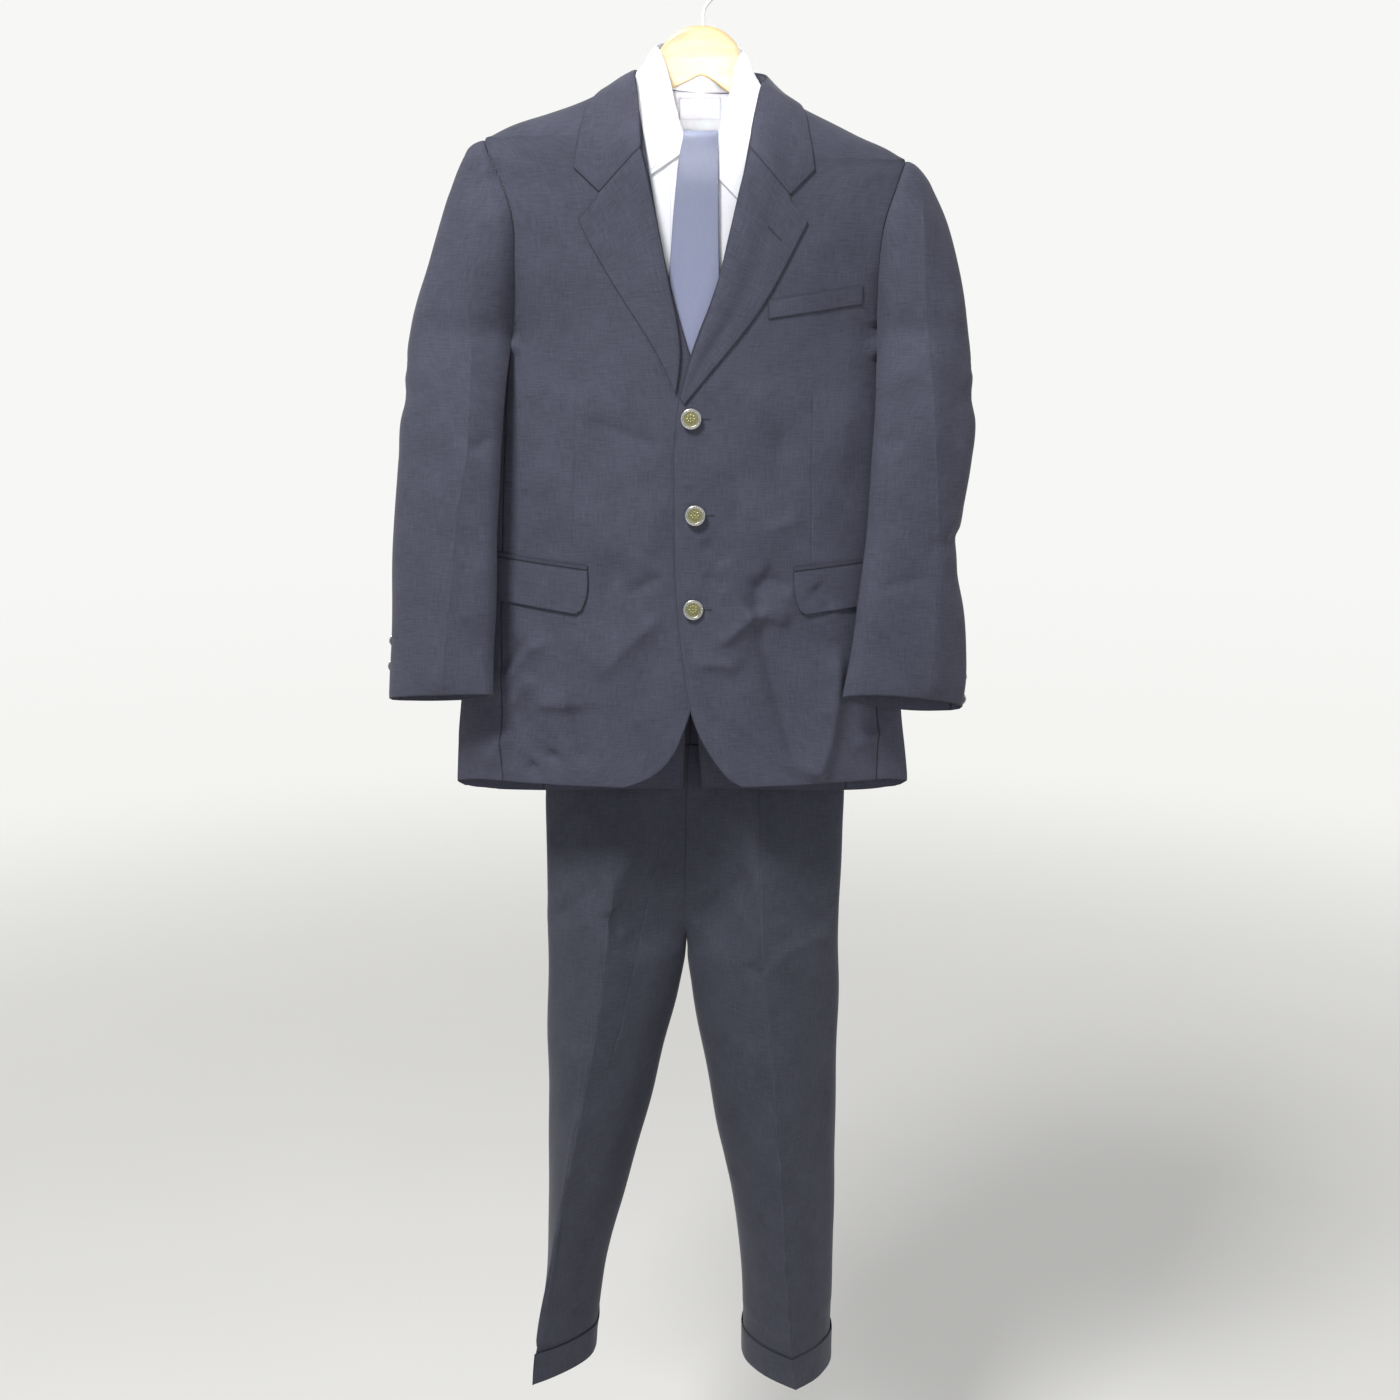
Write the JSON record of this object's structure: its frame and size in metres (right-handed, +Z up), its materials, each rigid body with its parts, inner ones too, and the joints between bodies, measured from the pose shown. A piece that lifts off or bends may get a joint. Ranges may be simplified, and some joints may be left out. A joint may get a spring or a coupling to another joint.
{
  "type": "school uniform on a hanger",
  "caption": "Hung school uniform: buttoned blazer with lapels and flap pockets, shirt and tie inside it, turned-up trousers clipped behind, and the wooden hanger that holds them.",
  "frame": {"origin": "on the underside of the crown of the hanger's hook, where a rail carries it", "axes": "+Z up, -Y towards the viewer and the front of the clothes, +X towards the wearer's left"},
  "size_m": [0.6157, 0.25, 1.5789],
  "materials": {
    "suiting": "matt wool-blend twill",
    "trouser_cloth": "matt wool-blend plain weave with pressed creases",
    "shirt_cotton": "matt cotton poplin",
    "tie_silk": "soft satin weave",
    "pale_wood": "satin lacquer",
    "white_wire": "gloss white coating",
    "silver_metal": "polished, with a brushed centre",
    "dark_snap": "dark satin lacquer"
  },
  "bodies": {
    "root": {"chest_welt": "suiting", "clip_hanger_bar": "white_wire", "clip_hanger_wire": "white_wire", "clip_left": "silver_metal", "clip_right": "silver_metal", "cuff_button_left_1": "silver_metal", "cuff_button_left_2": "silver_metal", "cuff_button_right_1": "silver_metal", "cuff_button_right_2": "silver_metal", "front_button_1": "silver_metal", "front_button_2": "silver_metal", "front_button_3": "silver_metal", "hanger_hook": "white_wire", "hanger_wood": "pale_wood", "jacket_back_left": "suiting", "jacket_back_right": "suiting", "jacket_collar_fall": "suiting", "jacket_collar_stand": "suiting", "jacket_front_left": "suiting", "jacket_front_right": "suiting", "jacket_lapel_left": "suiting", "jacket_lapel_right": "suiting", "jacket_side_left": "suiting", "jacket_side_right": "suiting", "jacket_top_sleeve_left": "suiting", "jacket_top_sleeve_right": "suiting", "jacket_under_sleeve_left": "suiting", "jacket_under_sleeve_right": "suiting", "pocket_flap_left": "suiting", "pocket_flap_right": "suiting", "pocket_jet_left": "suiting", "pocket_jet_right": "suiting", "shirt_back": "shirt_cotton", "shirt_collar_leaf_left": "shirt_cotton", "shirt_collar_leaf_right": "shirt_cotton", "shirt_collar_stand": "shirt_cotton", "shirt_front_left": "shirt_cotton", "shirt_front_right": "shirt_cotton", "shirt_label": "shirt_cotton", "shirt_placket": "shirt_cotton", "shirt_sleeve_left": "shirt_cotton", "shirt_sleeve_right": "shirt_cotton", "shirt_yoke": "shirt_cotton", "tie": "tie_silk", "trouser_back_left": "trouser_cloth", "trouser_back_right": "trouser_cloth", "trouser_front_left": "trouser_cloth", "trouser_front_right": "trouser_cloth", "turn_up_left": "trouser_cloth", "turn_up_right": "trouser_cloth", "turn_up_snap": "dark_snap", "waistband_left": "trouser_cloth", "waistband_right": "trouser_cloth"}
  },
  "joints": []
}
